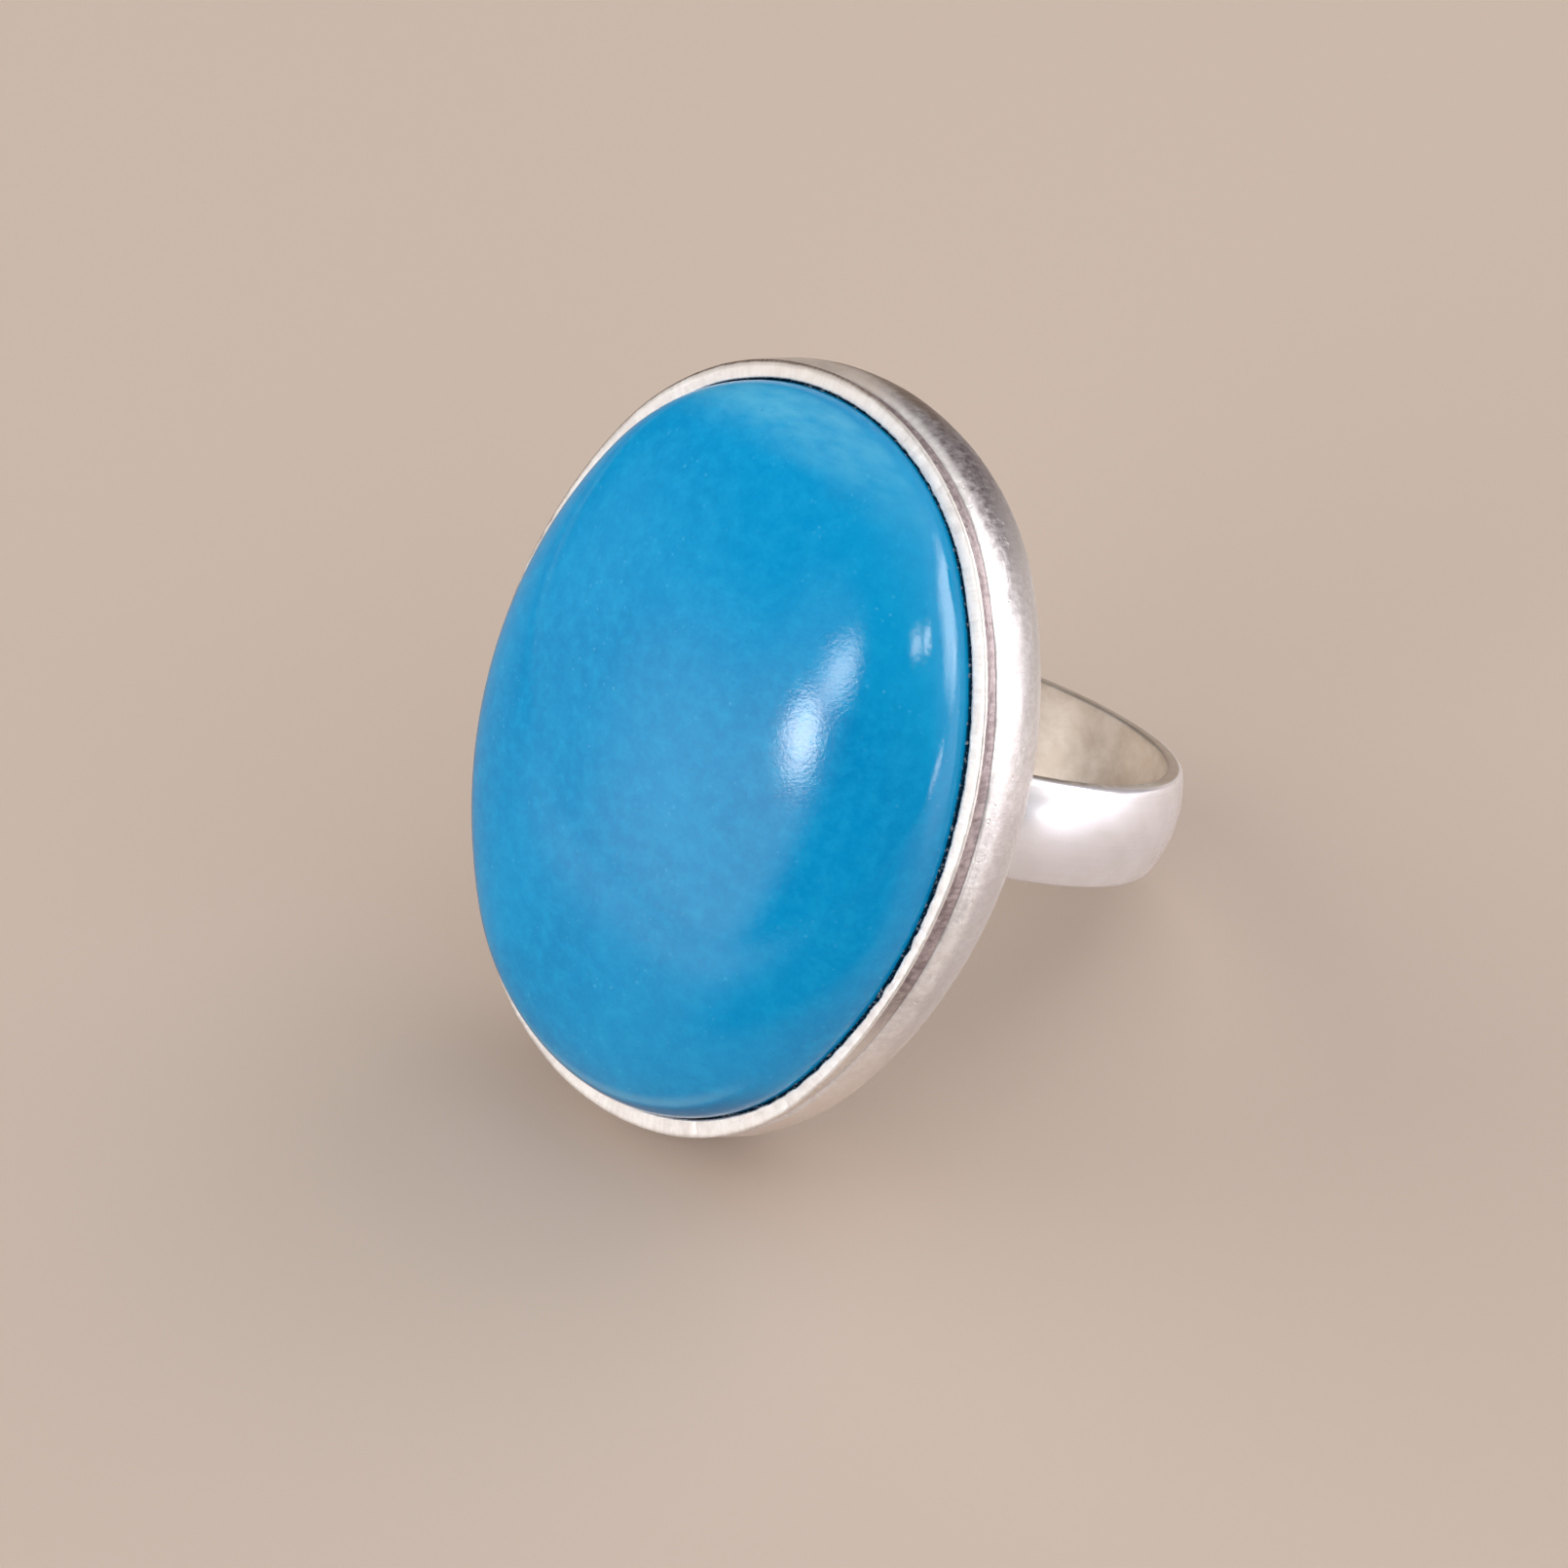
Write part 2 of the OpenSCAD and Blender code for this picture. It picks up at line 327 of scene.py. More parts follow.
def turquoise():
    """Polished turquoise: soft colour clouds, a painted pale reflection by the upper rim, painted
    reflections inside the lower rim, painted shade where the dome goes under the lip, pale flecks and dark
    pits.
    """
    material, tree, shader = start_material("turquoise_polished")
    own = ring_coordinates(tree)
    clouds = noise(tree, own, 0.12, 4.0, 0.5, 0.4)
    mottle = noise(tree, own, 1.6, 5.0, 0.65)
    deep, mid, light = (0.001, 0.265, 0.60), (0.001, 0.305, 0.66), (0.008, 0.375, 0.73)
    colour = mix_colour(tree, spread(tree, clouds, 0.38, 0.62, smooth=True), deep, mid)
    colour = mix_colour(tree, spread(tree, mottle, 0.42, 0.72, 0.0, 0.75), colour, light)
    grain = noise(tree, own, 5.0, 3.0, 0.7)
    colour = mix_colour(tree, spread(tree, grain, 0.50, 0.72, 0.0, 0.30), colour, light)
    colour = mix_colour(tree, spread(tree, grain, 0.28, 0.48, 0.25, 0.0), colour, (0.001, 0.21, 0.52))
    # A wispy painted pale reflection inside the upper rim
    place = separated(tree, own)
    veil_reflection = times(tree, spread(tree, along(tree, place, 0.10, 1.0), 10.4, 12.3, smooth=True),
                 between(tree, place["Z"], 0.5, 1.0, 1.8, 3.0))
    drawn_out = mapped(tree, own, scale=(0.8, 2.2, 1.4), rotation=(0, 0, -0.35))
    wisps = spread(tree, noise(tree, drawn_out, 0.8, 4.0, 0.55), 0.22, 0.66)
    colour = mix_colour(tree, times(tree, times(tree, veil_reflection, wisps), 0.95), colour, (0.09, 0.46, 0.74))
    # Inside the lower rim, a painted dark reflection along the edge and a painted pale reflection above it
    lower = spread(tree, place["Y"], -12.0, -9.0, 1.0, 0.0, smooth=True)
    rim_dark_reflection = times(tree, lower, spread(tree, place["Z"], 1.25, 1.5, 0.65, 0.0, smooth=True))
    colour = mix_colour(tree, rim_dark_reflection, colour, (0.003, 0.13, 0.33))
    rim_pale_reflection = times(tree, times(tree, lower, 0.5), between(tree, place["Z"], 1.4, 1.55, 1.6, 1.95))
    colour = mix_colour(tree, rim_pale_reflection, colour, (0.16, 0.50, 0.78))
    # A lighter, greener tone towards the upper right rim
    greener = spread(tree, along(tree, place, 0.85, 0.53), 7.5, 11.0, 0.0, 0.55, smooth=True)
    colour = mix_colour(tree, greener, colour, (0.003, 0.375, 0.72))
    # Pale flecks and dark pits, in loose groups
    for scale, low, high, group_scale, group_low, share, tint in (
            (3.2, 0.08, 0.26, 0.55, 0.46, 0.42, (0.10, 0.52, 0.82)),
            (2.4, 0.02, 0.12, 0.40, 0.52, 0.40, (0.26, 0.62, 0.84)),
            (2.6, 0.04, 0.13, 0.50, 0.53, 0.50, (0.002, 0.09, 0.20))):
        spaced = mapped(tree, own, scale=(scale, scale, scale * 0.8), location=(scale, 0, 0))
        cells = tree.nodes.new("ShaderNodeTexVoronoi")
        cells.inputs["Scale"].default_value = 1.0
        link(tree, spaced, cells.inputs["Vector"])
        ragged = plus(tree, cells.outputs["Distance"],
                      spread(tree, noise(tree, own, 9.0, 2.0), 0.3, 0.7, -0.06, 0.10))
        near = spread(tree, ragged, low, high, 1.0, 0.0)
        groups = spread(tree, noise(tree, mapped(tree, own, location=(7 * scale, 0, 0)), group_scale, 3.0),
                        group_low, group_low + 0.12)
        picked = spread(tree, cells.outputs["Color"], 0.35, 0.75)
        spot = times(tree, times(tree, near, groups), picked)
        colour = mix_colour(tree, times(tree, spot, share), colour, tint)
    # Painted shade where the dome goes under the lip, with pale specks in it
    uneven_height = plus(tree, place["Z"], times(tree, noise(tree, own, 2.5, 3.0), 0.16))
    gap_shade = spread(tree, uneven_height, 0.0, 0.11, 1.0, 0.0)
    colour = mix_colour(tree, times(tree, gap_shade, 0.9), colour, (0.004, 0.012, 0.035))
    gap_specks = spread(tree, noise(tree, own, 6.5, 2.0, 0.6), 0.58, 0.64)
    colour = mix_colour(tree, times(tree, gap_specks, gap_shade), colour, (0.55, 0.62, 0.70))
    link(tree, colour, shader.inputs["Base Color"])
    shader.inputs["Specular IOR Level"].default_value = 0.36
    grit = noise(tree, own, 7.0, 3.0, 0.6)
    link(tree, spread(tree, mottle, 0.3, 0.7, 0.045, 0.085), shader.inputs["Roughness"])
    smooth_waves = bumped(tree, noise(tree, own, 0.5, 2.0), 0.12, 0.05 * MM)
    link(tree, bumped(tree, grit, 0.36, 0.012 * MM, smooth_waves), shader.inputs["Normal"])
    return material


# The stone
STONE_GAP = 0.1
DOME_HEIGHT, DOME_FULLNESS = 4.6, 2.15
STONE_SIDES, DOME_RINGS = 288, 96
# Where the dome's rings stop and a small facet closes it, in radians from its top
DOME_TOP = 0.012


def make_stone():
    angle, _, _ = even_angles(STONE_SIDES)
    # Rows of reach, share of the outline, and z
    profile = [(0.05, 1.0, -3.3), (0.13, 1.0, -3.22), (0.15, 1.0, -3.1), (0.15, 1.0, -0.7),
               (0.13, 1.0, -0.55), (0.02, 1.0, -0.3), (-STONE_GAP, 1.0, -0.06)]
    for turn in np.linspace(math.pi / 2, DOME_TOP, DOME_RINGS):
        share = math.sin(turn)
        profile.append((-STONE_GAP, share, DOME_HEIGHT * (1 - share**2) ** (1 / DOME_FULLNESS)))
    points = []
    for reach, share, z in profile:
        x, y = outline(angle, reach)
        points.append(np.stack([x * share, y * share, np.full_like(x, z)], -1))
    points = np.concatenate(points)
    # A cut and polished stone is never quite true: broad, shallow waves on the dome
    dome = points[:, 2] > 0
    waviness = (np.sin(points[:, 0] * 0.55 + 1.0) * np.cos(points[:, 1] * 0.42 + 0.4)
                + 0.6 * np.sin(points[:, 0] * 0.9 - points[:, 1] * 0.7))
    points[:, 2] += np.where(dome, 0.009 * (waviness - 1.6) * np.clip(points[:, 2] / 2, 0, 1), 0)
    rows = len(profile)
    faces, _ = tube_faces(rows, STONE_SIDES)
    faces.append(tuple(range(STONE_SIDES - 1, -1, -1)))
    last = (rows - 1) * STONE_SIDES
    faces.append(tuple(last + i for i in range(STONE_SIDES)))
    return new_object("turquoise_cabochon", to_world(points), faces, materials=[turquoise()])


# The silver setting
HEAD_DEPTH = 4.4
HEAD_SIDES = 1080
WALL, LIP, GROOVE, BAND, EDGE, INNER, PLATE = range(7)


def arc(centre, radii, start, stop, steps):
    """Points of an elliptic arc in the (reach, z) plane, by angle in degrees."""
    turn = np.radians(np.linspace(start, stop, steps))
    return [(centre[0] + radii[0] * math.cos(t), centre[1] + radii[1] * math.sin(t)) for t in turn]


def bezel_profile():
    """Rows of the cup as ((reach, z), material): up the wall from the back, over the lip, down inside."""
    crest, crest_z, rim, groove = 0.8, -1.8, 0.1, 0.46
    rows = [(p, WALL) for p in arc((rim - 0.14, -HEAD_DEPTH + 0.14), (0.14, 0.14), -90, -10, 6)]
    fall = (crest - rim) / (HEAD_DEPTH - 0.14 + crest_z) ** 2
    for z in np.linspace(-HEAD_DEPTH + 0.3, crest_z, 20):
        rows.append(((crest - fall * (z - crest_z) ** 2, z), WALL))
    wall_top, wall_top_z = 0.52, -0.74
    for z in np.linspace(crest_z + 0.1, -0.8, 10):
        fall = (crest - wall_top) * ((z - crest_z) / (wall_top_z - crest_z)) ** 2
        rows.append(((crest - fall, z), WALL))
    rows += [(p, WALL) for p in ((0.525, -0.765), (0.505, -0.745))]
    rows += [(p, GROOVE) for p in ((groove + 0.01, -0.735), (groove - 0.01, -0.70), (groove - 0.01, -0.4),
                                   (groove, -0.335))]
    rows += [(p, GROOVE) for p in ((0.52, -0.33), (0.575, -0.305), (0.6, -0.27), (0.606, -0.21))]
    rows += [(p, LIP) for p in ((0.605, -0.10), (0.592, -0.045), (0.55, -0.016))]
    rows += [(p, LIP) for p in ((0.47, -0.006), (0.36, -0.003), (0.24, -0.001), (0.12, -0.003))]
    rows += [(p, LIP) for p in arc((0.07, -0.07), (0.07, 0.07), 80, 180, 5)]
    rows += [(p, GROOVE) for p in ((0.005, -0.13), (0.06, -0.28), (0.2, -0.48), (0.25, -0.6), (0.25, -3.4))]
    return rows


def make_head():
    """Points, faces, grain and materials of the cup."""
    angle, at, length = even_angles(HEAD_SIDES)
    rows = bezel_profile()
    reach = np.array([p[0] for p, _ in rows])
    height = np.array([p[1] for p, _ in rows])
    across = np.concatenate([[0], np.cumsum(np.hypot(np.diff(reach), np.diff(height)))])
    # The lip was pushed over and filed by hand: its width wanders, its inner edge is scalloped at the
    # lower right, and file marks cross it
    degrees = np.degrees(angle)
    lower_right = hump(degrees, 340, 32)
    upper_right = hump(degrees, 62, 38)
    right = hump(degrees, 0, 34)
    file_marks = waves(at, length, range(260, 500, 4), 12)
    outer_shift = (0.05 * hump(degrees, 180, 55) + 0.03 * hump(degrees, 275, 30)
                   - 0.10 * hump(degrees, 48, 24) - 0.20 * hump(degrees, 341, 21)
                   + 0.012 * waves(at, length, range(5, 16), 3) + 0.008 * file_marks)
    inner_shift = (-0.03 + 0.075 * right
                   + 0.022 * upper_right * waves(at, length, range(90, 240, 3), 14)
                   + 0.035 * lower_right * waves(at, length, range(60, 120), 11)
                   + 0.018 * file_marks + 0.010 * waves(at, length, range(8, 30), 13))
    inner_shift = np.clip(inner_shift, -0.04, 0.25)
    seam = 0.025 * hump(degrees, 295, 0.25)
    # The lip falls outward at the right, and its outer edge is rounded off at the upper left
    fall = 0.09 * hump(degrees, 15, 32)
    rounded = 1.0 * hump(degrees, 135, 42)
    # The groove is deeper cut at the right and shallower at the lower right
    groove_drop = 0.20 * hump(degrees, 0, 24) - 0.16 * hump(degrees, 315, 22)
    top_wave = 0.012 * waves(at, length, range(6, 30), 5) + 0.008 * waves(at, length, range(60, 120), 6)
    # The wall carries shallow dents and slow waves
    rng = np.random.default_rng(21)
    dents = [(rng.uniform(0, length), rng.uniform(-3.6, -1.3), rng.uniform(0.25, 0.7),
              rng.uniform(0.25, 0.5), rng.uniform(0.012, 0.035)) for _ in range(46)]
    points = []
    for (r, z), kind in rows:
        grow = np.full(HEAD_SIDES, r)
        lift = np.zeros(HEAD_SIDES)
        if -0.76 < z < -0.65 and r > 0.3:
            # The groove's lower edge
            lift = -groove_drop
        elif z > -0.75:
            # The lip
            outside = min(r / 0.6, 1.0) * ease(z, -0.4, -0.2)
            inside = (1 - ease(r, 0.05, 0.4)) * ease(z, -0.3, -0.12)
            grow = grow + outer_shift * outside + inner_shift * inside
            own_marks = waves(at + 0.5 * r, length, range(260, 500, 5), int(100 + 50 * r))
            marks = 0.6 * file_marks + 0.4 * own_marks
            lift = (top_wave + 0.0015 * marks - seam - fall * max(r - 0.12, 0)
                    - rounded * max(r - 0.47, 0)) * ease(z, -0.3, -0.1)
        elif r > 0.1 and z > -HEAD_DEPTH + 0.2 and kind == WALL:
            level = ease(z, -4.1, -3.4)
            slow = (0.012 * waves(at, length, range(4, 14), 7)
                    + 0.006 * waves(at + 2.5 * z, length, range(14, 40), 8)
                    + 0.0022 * waves(at + 1.2 * z, length, range(50, 160, 2), 9)
                    + 0.0022 * waves(at - 1.6 * z, length, range(50, 160, 2), 10))
            grow = grow + (slow - 0.012) * level
            lift = -groove_drop * ease(z, -1.6, -0.85)
            for dent_at, dent_z, wide, tall, deep in dents:
                gap = (at - dent_at + length / 2) % length - length / 2
                grow = grow - deep * np.exp(-((gap / wide) ** 2) - ((z - dent_z) / tall) ** 2)
        x, y = outline(angle, grow)
        points.append(np.stack([x, y, z + lift], -1))
    count = len(rows)
    faces, row_of = tube_faces(count, HEAD_SIDES)
    uv = tube_uv(at, length, across, count, HEAD_SIDES)
    kinds = [rows[k][1] for k in row_of]
    # The back plate's outer face, and its face under the stone
    faces.append(tuple(range(HEAD_SIDES - 1, -1, -1)))
    x, y = outline(angle, reach[0])
    uv += list(zip(x[::-1], y[::-1]))
    kinds.append(PLATE)
    last = (count - 1) * HEAD_SIDES
    faces.append(tuple(last + i for i in range(HEAD_SIDES)))
    x, y = outline(angle, reach[-1])
    uv += list(zip(x, y))
    kinds.append(GROOVE)
    return np.concatenate(points), faces, uv, kinds


# The band
BAND_WIDTH, EDGE_THICKNESS, CROWN_THICKNESS = 3.9, 0.6, 1.0
BAND_SIDES = 420
# How far the solder reaches along the plate, and round the band from its top in degrees
SOLDER_REACH, SOLDER_END = 5.2, 37
# Part of the band's round that the plate can be above, in radians from its top
UNDER_PLATE = 0.8
# How far the band sinks into the plate
SINK = 0.1


def band_profile():
    """Closed D section as (radius, y): the flat inside with eased edges, the edge faces and the crown."""
    half, soft = BAND_WIDTH / 2, 0.12
    rise = CROWN_THICKNESS - EDGE_THICKNESS
    curve = (half**2 + rise**2) / (2 * rise)
    inner, edge = HOLE_RADIUS, HOLE_RADIUS + EDGE_THICKNESS
    section = [(inner, y) for y in np.linspace(-half + soft, half - soft, 13)]
    section += [(inner + soft * (1 - math.cos(t)), half - soft + soft * math.sin(t))
                for t in np.radians([30, 60, 90])]
    section += [(inner + 0.25, half), (edge - 0.14, half), (edge - 0.06, half - 0.012), (edge, half - 0.05)]
    for y in np.linspace(half - 0.12, -half + 0.12, 25):
        section.append((HOLE_RADIUS + CROWN_THICKNESS - curve + math.sqrt(curve**2 - y**2), y))
    section += [(r, -y) for r, y in ((edge, half - 0.05), (edge - 0.06, half - 0.012), (edge - 0.14, half),
                                     (inner + 0.25, half))]
    section += [(inner + soft * (1 - math.cos(t)), -half + soft - soft * math.sin(t))
                for t in np.radians([90, 60, 30])]
    return section


def make_band():
    """Points, faces, grain and materials of the band, which swells into solder where it meets the plate."""
    turn = np.linspace(0, 2 * math.pi, BAND_SIDES, endpoint=False)
    from_top = np.abs((turn + math.pi) % (2 * math.pi) - math.pi)
    to_plate = -HEAD_DEPTH - BAND_CENTRE_Z
    start, stop = math.atan2(SOLDER_REACH, to_plate), math.radians(SOLDER_END)
    plate = np.where(from_top < UNDER_PLATE, to_plate / np.cos(np.minimum(from_top, UNDER_PLATE)), 99.0)
    reach_plate = plate[0] / math.cos(start)
    fade = np.clip((from_top - start) / (stop - start), 0, 1)
    section = band_profile()
    half, edge = BAND_WIDTH / 2, HOLE_RADIUS + EDGE_THICKNESS
    length = 2 * math.pi * (HOLE_RADIUS + 0.8)
    at = turn / (2 * math.pi) * length
    wander = 0.007 * waves(at, length, range(3, 10), 31)
    points, across = [], [0.0]
    for k, (radius, y) in enumerate(section):
        outside = ease(radius, HOLE_RADIUS + 0.28, HOLE_RADIUS + 0.5)
        solder = ease(half - abs(y), 0.25, 0.85) * outside
        swell = np.where(from_top <= start, plate + SINK - radius,
                         (reach_plate + SINK - radius) * (1 - fade) ** 2.4)
        r = radius + np.maximum(swell, 0) * solder + wander * outside
        r = np.where(outside > 0, np.minimum(r, plate + SINK), r)
        ring = [r * np.sin(turn), np.full_like(r, y), BAND_CENTRE_Z + r * np.cos(turn)]
        points.append(np.stack(ring, -1))
        if k:
            across.append(across[-1] + math.hypot(radius - section[k - 1][0], y - section[k - 1][1]))
    across.append(across[-1] + math.hypot(section[0][0] - section[-1][0], section[0][1] - section[-1][1]))
    faces, row_of = tube_faces(len(section), BAND_SIDES, wrap_rows=True)
    uv = tube_uv(at, length, across, len(section), BAND_SIDES, wrap_rows=True)
    kinds = []
    for k in row_of:
        near, far = section[k], section[(k + 1) % len(section)]
        if max(near[0], far[0]) < edge - 0.1 and min(abs(near[1]), abs(far[1])) > half - 0.11:
            kinds.append(EDGE)
        else:
            kinds.append(INNER if max(near[0], far[0]) < HOLE_RADIUS + 0.02 else BAND)
    reversed_uv = [corner for k in range(0, len(uv), 4) for corner in uv[k:k + 4][::-1]]
    return np.concatenate(points), [f[::-1] for f in faces], reversed_uv, kinds


def make_setting():
    head_points, head_faces, head_uv, head_kinds = make_head()
    band_points, band_faces, band_uv, band_kinds = make_band()
    shift = len(head_points)
    points = to_world(np.concatenate([head_points, band_points]))
    # Where the ring lies, wear has left both contact points flat
    points[:, 2] = np.maximum(points[:, 2], 0.0)
    faces = head_faces + [tuple(i + shift for i in f) for f in band_faces]
    # In the order of WALL to PLATE
    materials = [
        silver("silver_wall_brushed", (0.92, 0.90, 0.905), (0.76, 0.73, 0.745), 0.41, 0.07,
               (5.0, 2.2), 0.65, line_share=0.4, pit_strength=0.6, dent_strength=0.4, metallic=0.68,
               patinas_and_painted_shade=((100, (12.7, 13.9), (-4.3, -4.2, -0.2, -0.1), (1.0, 0.86, 0.74)),
                        # Painted dark reflection over the upper right of the wall
                        (57, (11.7, 13.5), (-4.6, -4.5, -1.25, -0.84), (0.14, 0.105, 0.12)),
                        # Brown painted shade over the top of the wall, below the crest
                        (96, (12.4, 13.6), (-4.3, -4.2, -2.0, -1.3), (0.24, 0.17, 0.12)),
                        # Grey painted shade, in two steps, over the back part of the wall at the right
                        (28, (10.4, 11.8), (-4.6, -4.5, -2.4, -1.7), (0.48, 0.46, 0.46)),
                        (-8, (9.6, 11.2), (-4.6, -4.5, -1.9, -1.3), (0.66, 0.63, 0.66)),
                        (-42, (11.2, 12.6), (-4.6, -4.5, -0.9, -0.7), (0.84, 0.75, 0.69)))),
        silver("silver_lip_filed", (0.96, 0.925, 0.905), (0.80, 0.75, 0.72), 0.42, 0.08,
               (6.0, 0.8), 0.45, line_share=0.3, dent_strength=0.3, metallic=0.5,
               patinas_and_painted_shade=((98, (12.4, 13.9), (-1.0, -0.9, 0.5, 0.6), (0.80, 0.72, 0.66)),
                        # Painted shadow: a dark brown line along the lip's rounded outer edge at the upper
                        # left
                        (135, (6.0, 8.5), (-1.0, -0.9, -0.075, -0.012), (0.16, 0.09, 0.055)))),
        silver("silver_groove_tarnished", (0.50, 0.42, 0.43), (0.24, 0.19, 0.20), 0.50, 0.08,
               (5.0, 2.0), 1.0, line_share=0.5, dent_strength=0.4, metallic=0.7,
               patinas_and_painted_shade=((-60, (8.6, 11.4), (-4.0, -3.9, 0.5, 0.6), (0.86, 0.78, 0.72)),)),
        silver("silver_band_polished", (0.94, 0.925, 0.985), (0.88, 0.86, 0.90), 0.24, 0.03,
               (0.2, 7.0), 0.0, pit_strength=0, dent_scale=0.9, dent_strength=0.10,
               scratch_strength=0, metallic=0.62),
        # Edge faces: the dark tint is a painted dark reflection, with a painted brown on the +y edge away
        # from the head
        silver("silver_edge_tarnished", (0.74, 0.69, 0.64), (0.20, 0.18, 0.15), 0.36, 0.08,
               (0.3, 6.0), 0.3, metallic=0.6, bright_sides=True,
               patinas_and_painted_shade=((90, (0.5, 1.0), (-24.0, -23.9, -16.5, -14.0), (0.55, 0.46, 0.38)),)),
        silver("silver_band_inner", (0.98, 0.925, 0.86), (0.76, 0.68, 0.60), 0.33, 0.05,
               (0.8, 1.0), 0.1, pit_strength=0, dent_scale=0.55, dent_strength=0.7,
               scratch_strength=0, metallic=0.8),
        silver("silver_back_brushed", (0.92, 0.905, 0.90), (0.84, 0.82, 0.82), 0.40, 0.05,
               (0.25, 6.0), 0.5, line_share=0.6, pit_strength=0.3, dent_scale=0.6,
               dent_strength=0.3, metallic=0.75),
    ]
    return new_object("silver_setting", points, faces, head_uv + band_uv, head_kinds + band_kinds,
                      materials)


# Floor, light and camera
RING_MIDDLE = Vector((0, 0, 0.012))


def make_floor():
    bpy.ops.mesh.primitive_plane_add(size=6.0, location=(0, 0, 0))
    floor = bpy.context.object
    floor.name = "floor"
    material, _, shader = start_material("floor_plain")
    shader.inputs["Base Color"].default_value = (0.60, 0.50, 0.43, 1)
    shader.inputs["Roughness"].default_value = 0.75
    floor.data.materials.append(material)


def make_backdrop():
    """A pale cove round the floor that only the camera sees, so that every view has one plain ground."""
    sides = 96
    # Rows of radius and height
    rows = ((0.08, 0.0003), (0.3, 0.0003), (0.5, 0.002), (0.66, 0.02), (0.74, 0.06), (0.78, 0.14),
            (0.78, 1.5))
    turn = np.linspace(0, 2 * math.pi, sides, endpoint=False)
    points = np.concatenate([np.stack([r * np.cos(turn), r * np.sin(turn), np.full(sides, z)], -1)
                             for r, z in rows])
    material, tree, shader = start_material("backdrop_plain")
    tree.nodes.remove(shader)
    reach = vector_length(tree, tree.nodes.new("ShaderNodeTexCoord").outputs["Object"])
    glow = tree.nodes.new("ShaderNodeEmission")
    glow.inputs["Color"].default_value = (0.597, 0.491, 0.413, 1)
    both = tree.nodes.new("ShaderNodeMixShader")
    link(tree, spread(tree, reach, 0.10, 0.40, smooth=True), both.inputs[0])
    link(tree, tree.nodes.new("ShaderNodeBsdfTransparent").outputs[0], both.inputs[1])
    link(tree, glow.outputs[0], both.inputs[2])
    link(tree, both.outputs[0], tree.nodes["Material Output"].inputs["Surface"])
    cove = new_object("backdrop", points, tube_faces(len(rows), sides)[0], materials=[material])
    cove.visible_diffuse = cove.visible_glossy = cove.visible_shadow = False


def only_mirrored(obj):
    """Leaves the object to the ring's reflections: no camera, no soft light and no shadow sees it."""
    obj.visible_camera = obj.visible_diffuse = obj.visible_shadow = False


def make_card():
    """A dark card behind the ring, there only for the dark reflection it gives the polish."""
    bpy.ops.mesh.primitive_plane_add(size=1.0)
    card = bpy.context.object
    card.name = "dark_card"
    card.scale = (0.16, 0.046, 1)
    card.rotation_euler = (math.radians(90), 0, math.radians(-8))
    card.location = (0.004, 0.085, 0.023)
    material, _, shader = start_material("card_dark")
    shader.inputs["Base Color"].default_value = (0.085, 0.06, 0.07, 1)
    shader.inputs["Roughness"].default_value = 0.9
    card.data.materials.append(material)
    only_mirrored(card)


def direction(azimuth, elevation):
    """Unit vector from the ring, with azimuth 0 in front of the stone and 90 to the right, in degrees."""
    a, e = math.radians(azimuth), math.radians(elevation)
    return Vector((math.sin(a) * math.cos(e), -math.cos(a) * math.cos(e), math.sin(e)))


def face_ring(obj, azimuth, elevation, distance, turn):
    """Puts an object at this distance in this direction, turned to the ring."""
    back = direction(azimuth, elevation)
    obj.location = RING_MIDDLE + back * distance
    obj.rotation_mode = "QUATERNION"
    obj.rotation_quaternion = (back.to_track_quat("Z", "Y")
                               @ Matrix.Rotation(math.radians(turn), 3, "Z").to_quaternion())


def soft_light(name, azimuth, elevation, distance, wide, tall, radiance, turn=0.0, colour=(1, 1, 1),
               mirrored=True, lighting=True):
    """A soft box that faces the ring. radiance is what a mirror would show of it."""
    lamp = bpy.data.lights.new(name, "AREA")
    lamp.shape = "RECTANGLE"
    lamp.size, lamp.size_y = wide, tall
    lamp.energy = radiance * math.pi * wide * tall
    lamp.color = colour
    obj = bpy.data.objects.new(name, lamp)
    bpy.context.scene.collection.objects.link(obj)
    face_ring(obj, azimuth, elevation, distance, turn)
    obj.visible_camera = False
    obj.visible_glossy = mirrored
    obj.visible_diffuse = lighting


def round_window(name, azimuth, elevation, distance, wide, tall, radiance, turn=0.0, soft=0.6):
    """A bright patch with a soft, uneven rim that faces the ring and shows only in its polish."""
    bpy.ops.mesh.primitive_plane_add(size=2.0)
    pane = bpy.context.object
    pane.name = name
    face_ring(pane, azimuth, elevation, distance, turn)
    pane.scale = (wide / 2, tall / 2, 1)
    material, tree, shader = start_material(name)
    tree.nodes.remove(shader)
    place = tree.nodes.new("ShaderNodeTexCoord").outputs["Object"]
    uneven = spread(tree, noise(tree, place, 2.2, 3.0, 0.6), 0.3, 0.7, -0.18, 0.18)
    share = spread(tree, plus(tree, vector_length(tree, place), uneven), 0.9 - soft, 0.9, 1.0, 0.0,
                   smooth=True)
    glow = tree.nodes.new("ShaderNodeEmission")
    link(tree, times(tree, share, radiance), glow.inputs["Strength"])
    both = tree.nodes.new("ShaderNodeAddShader")
    link(tree, glow.outputs[0], both.inputs[0])
    link(tree, tree.nodes.new("ShaderNodeBsdfTransparent").outputs[0], both.inputs[1])
    link(tree, both.outputs[0], tree.nodes["Material Output"].inputs["Surface"])
    pane.data.materials.append(material)
    only_mirrored(pane)


def facing(tree, view, azimuth, elevation, inner, outer, strength=1.0):
    """Soft round patch of directions: full within the inner angle, gone at the outer one, in degrees."""
    toward = tree.nodes.new("ShaderNodeVectorMath")
    toward.operation = "DOT_PRODUCT"
    link(tree, view, toward.inputs[0])
    toward.inputs[1].default_value = direction(azimuth, elevation)
    return spread(tree, toward.outputs["Value"], math.cos(math.radians(outer)),
                  math.cos(math.radians(inner)), 0.0, strength, smooth=True)


